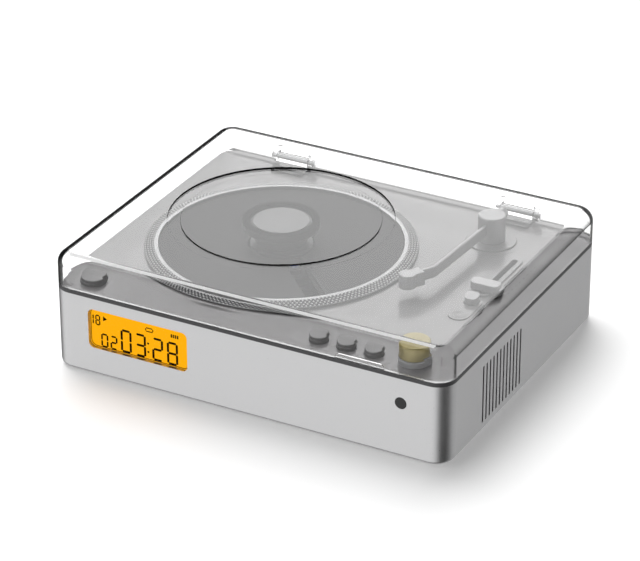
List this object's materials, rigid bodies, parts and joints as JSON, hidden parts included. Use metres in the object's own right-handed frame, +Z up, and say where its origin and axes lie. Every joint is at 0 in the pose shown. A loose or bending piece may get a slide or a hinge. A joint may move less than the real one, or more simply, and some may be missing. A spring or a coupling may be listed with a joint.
{
  "type": "compact disc player",
  "caption": "Flat silver disc player with a clear hinged dust cover, clamp in the cover, dotted ring, swinging arm, fader, knob, buttons and an amber display.",
  "frame": {"origin": "centre of the bounding box on the plane of the feet's soles", "axes": "+X to the right along the front, +Y from the display's front to the back wall, +Z up"},
  "size_m": [0.22, 0.177, 0.0634],
  "materials": {
    "silver_case": "satin silver",
    "deck_silver": "satin silver",
    "floor_plastic": "fine matt",
    "foot_rubber": "matt",
    "steel_screws": "polished",
    "trim_black": "satin black",
    "ring_metal": "satin with dots",
    "mat_rubber": "matt charcoal",
    "display_glass": "clear",
    "display_amber": "lit amber",
    "inner_black": "matt",
    "ir_black": "gloss",
    "drive_plastic": "matt",
    "motor_steel": "plated",
    "gear_nylon": "natural",
    "board_green": "lacquered",
    "cell_wrap": "heat-shrunk",
    "socket_steel": "plated",
    "socket_black": "matt",
    "speaker_steel": "black",
    "speaker_paper": "paper",
    "clear_cover": "clear acrylic",
    "clamp_grey": "satin grey",
    "clamp_label_grey": "satin",
    "hub_black": "satin black",
    "lens_glass": "coated",
    "button_metal": "satin",
    "knob_gold": "pale gold",
    "collar_metal": "bright",
    "fader_silver": "satin silver",
    "rocker_silver": "satin silver",
    "arm_silver": "satin silver",
    "bracket_clear": "satin grey"
  },
  "bodies": {
    "case": {"case_shell": "silver_case", "bottom_cover": "floor_plastic", "feet": "foot_rubber", "case_screws": "steel_screws", "trim_ring": "trim_black", "deck_plate": "deck_silver", "platter_ring": "ring_metal", "disc_mat": "mat_rubber", "display_window": "display_glass", "display_panel": "display_amber", "display_holder": "inner_black", "ir_window": "ir_black", "drive_chassis": "drive_plastic", "drive_dampers": "foot_rubber", "drive_screws": "steel_screws", "guide_rods": "steel_screws", "sled_motor": "motor_steel", "spindle_motor": "motor_steel", "control_boards": "board_green", "volume_encoder": "inner_black", "knob_ring": "collar_metal", "fader_track": "fader_silver", "fader_body": "inner_black", "rocker_plate": "rocker_silver", "rocker_switch": "inner_black", "arm_base": "arm_silver", "main_board": "board_green", "battery_pack": "cell_wrap", "usb_socket": "socket_steel", "aux_socket": "socket_black", "power_inlet": "socket_steel", "hinge_brackets": "bracket_clear", "speaker_drivers": "speaker_steel", "speaker_cones": "speaker_paper"},
    "cover": {"dust_cover": "clear_cover", "clamp_holder": "clamp_grey", "hinge_pins": "steel_screws"},
    "clamp": {"clamp_puck": "clamp_grey", "clamp_label": "clamp_label_grey"},
    "hub": {"spindle_hub": "hub_black", "catch_balls": "steel_screws", "spindle_shaft": "steel_screws"},
    "sled": {"pickup_sled": "drive_plastic", "objective_lens": "lens_glass"},
    "gear": {"sled_gear": "gear_nylon"},
    "pinion": {"motor_pinion": "gear_nylon"},
    "key_power": {"button_power": "button_metal"},
    "key_previous": {"button_previous": "button_metal"},
    "key_play": {"button_play": "button_metal"},
    "key_next": {"button_next": "button_metal"},
    "knob": {"volume_knob": "knob_gold", "volume_shaft": "collar_metal"},
    "fader": {"fader_knob": "fader_silver"},
    "rocker": {"rocker_key": "rocker_silver"},
    "arm": {"arm_pillar": "arm_silver", "arm_clip": "arm_silver", "arm_bar": "arm_silver", "arm_head": "arm_silver", "arm_weight": "arm_silver"}
  },
  "joints": [
    {"name": "cover_lift", "type": "hinge", "parent": "case", "child": "cover", "pos_m": [0, 0.0843, 0.0505], "axis": [-1, 0, 0], "range_deg": [0, 78]},
    {"name": "clamp_spin", "type": "hinge", "parent": "cover", "child": "clamp", "pos_m": [-0.0275, 0.0005, 0.0565], "axis": [0, 0, 1], "continuous": true},
    {"name": "disc_spin", "type": "hinge", "parent": "case", "child": "hub", "pos_m": [-0.0275, 0.0005, 0.0465], "axis": [0, 0, 1], "continuous": true},
    {"name": "pickup_travel", "type": "slide", "parent": "case", "child": "sled", "axis": [0.7071, -0.7071, 0], "range_m": [0, 0.033]},
    {"name": "sled_gear_turn", "type": "hinge", "parent": "case", "child": "gear", "pos_m": [-0.01927, -0.04784, 0.032], "axis": [0, 0, 1], "range_deg": [-296, 0]},
    {"name": "pinion_turn", "type": "hinge", "parent": "case", "child": "pinion", "pos_m": [-0.02662, -0.04048, 0.032], "axis": [0, 0, 1], "range_deg": [0, 474]},
    {"name": "volume_turn", "type": "hinge", "parent": "case", "child": "knob", "pos_m": [0.085, -0.0726, 0.0515], "axis": [0, 0, -1], "range_deg": [-150, 150]},
    {"name": "fader_travel", "type": "slide", "parent": "case", "child": "fader", "axis": [0, 1, 0], "range_m": [0, 0.0305]},
    {"name": "rocker_tip", "type": "hinge", "parent": "case", "child": "rocker", "pos_m": [0.0848, -0.0095, 0.0441], "axis": [-1, 0, 0], "range_deg": [0, 12]},
    {"name": "arm_swing", "type": "hinge", "parent": "case", "child": "arm", "pos_m": [0.0647, 0.0555, 0.0515], "axis": [0, 0, -1], "range_deg": [0, 28]},
    {"name": "power_press", "type": "slide", "parent": "case", "child": "key_power", "axis": [0, 0, -1], "range_m": [0, 0.0008], "stiffness_N_per_m": 500, "springref_m": -0.0005},
    {"name": "previous_press", "type": "slide", "parent": "case", "child": "key_previous", "axis": [0, 0, -1], "range_m": [0, 0.0008], "stiffness_N_per_m": 500, "springref_m": -0.0005},
    {"name": "play_press", "type": "slide", "parent": "case", "child": "key_play", "axis": [0, 0, -1], "range_m": [0, 0.0008], "stiffness_N_per_m": 500, "springref_m": -0.0005},
    {"name": "next_press", "type": "slide", "parent": "case", "child": "key_next", "axis": [0, 0, -1], "range_m": [0, 0.0008], "stiffness_N_per_m": 500, "springref_m": -0.0005}
  ],
  "couplings": [
    {"joint": "sled_gear_turn", "follows": "pickup_travel", "rad_per_m": -156.25},
    {"joint": "pinion_turn", "follows": "pickup_travel", "rad_per_m": 250}
  ]
}
